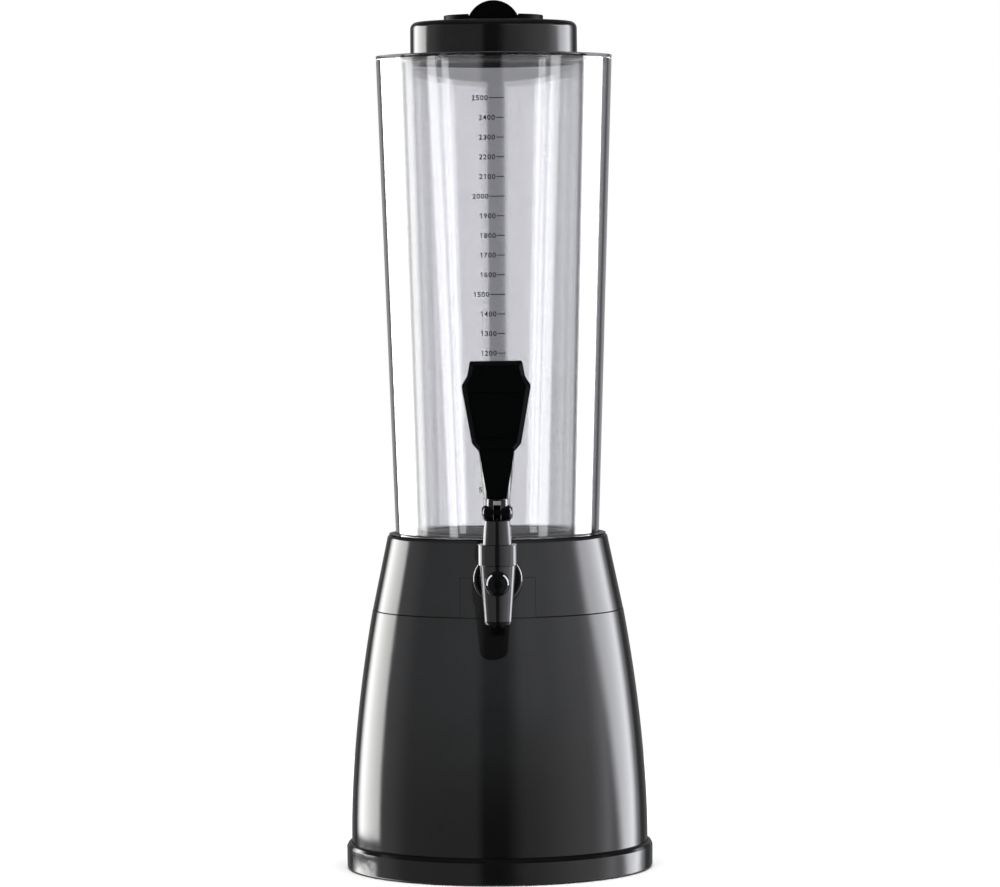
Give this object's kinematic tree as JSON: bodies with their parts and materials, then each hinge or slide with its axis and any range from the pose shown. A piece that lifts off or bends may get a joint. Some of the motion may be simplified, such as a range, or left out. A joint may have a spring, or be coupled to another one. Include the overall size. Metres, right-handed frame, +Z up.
{
  "type": "beer tower dispenser",
  "caption": "Table-top drink tower: flared gloss-black base, clear double-walled column with a lift-off vented lid, and a lever tap at the front that draws the drink from a sump.",
  "frame": {"origin": "on the column's axis, at the plane the tower stands on", "axes": "+Z up along the column, -Y towards the tap and the person who pours, +X to that person's right when facing the tap"},
  "size_m": [0.1878, 0.2165, 0.5305],
  "materials": {
    "gloss_black": "high-gloss injection-moulded black plastic",
    "inner_black": "plain moulded black plastic",
    "lid_black": "semi-gloss moulded black plastic",
    "handle_black": "satin black plastic",
    "black_chrome": "polished black chrome",
    "steel": "plain stainless steel",
    "steel_dark": "dark turned steel",
    "clear_wall": "clear moulded plastic",
    "rubber_black": "matt black rubber",
    "silicone_white": "translucent white silicone",
    "silicone_red": "red silicone"
  },
  "bodies": {
    "tower": {"non_slip_ring": "rubber_black", "foot_ring": "gloss_black", "base_plate": "inner_black", "base_screws": "steel", "pedestal_shell": "gloss_black", "collar_shell": "gloss_black", "collar_screws": "steel", "tap_panel": "gloss_black", "sump_cup": "inner_black", "vessel_gasket": "rubber_black", "inner_vessel": "clear_wall", "outer_shell": "clear_wall", "tap_flange": "black_chrome", "flange_gasket": "rubber_black", "tap_shank": "black_chrome", "sump_washer": "rubber_black", "shank_nut": "inner_black", "tap_body": "black_chrome", "front_cap": "lid_black", "bonnet_seal": "silicone_red", "bonnet": "black_chrome", "collar_nut": "black_chrome", "stem_o_ring": "silicone_red", "valve_spring": "steel"},
    "rod": {"valve_rod": "steel_dark", "valve_seal": "silicone_white"},
    "lever": {"lever_fork": "black_chrome", "pivot_pin": "steel", "handle": "handle_black", "handle_insert": "handle_black"},
    "lid": {"lid_shell": "lid_black", "lid_seal": "rubber_black"},
    "knob": {"vent_knob": "lid_black", "knob_screw": "steel"}
  },
  "joints": [
    {"name": "rod_lift", "type": "slide", "parent": "tower", "child": "rod", "axis": [0, 0, 1], "range_m": [0, 0.0021], "stiffness_N_per_m": 250, "springref_m": -0.004, "deforming": ["valve_spring"]},
    {"name": "handle_tilt", "type": "hinge", "parent": "rod", "child": "lever", "pos_m": [0, -0.108, 0.2241], "axis": [1, 0, 0], "range_deg": [0, 30]},
    {"name": "lid_lift", "type": "slide", "parent": "tower", "child": "lid", "axis": [0, 0, 1], "range_m": [0, 0.06]},
    {"name": "knob_turn", "type": "hinge", "parent": "lid", "child": "knob", "pos_m": [0, 0, 0.5173], "axis": [0, 0, 1], "range_deg": [0, 90]}
  ],
  "couplings": [
    {"joint": "rod_lift", "follows": "handle_tilt", "m_per_rad": 0.004}
  ]
}
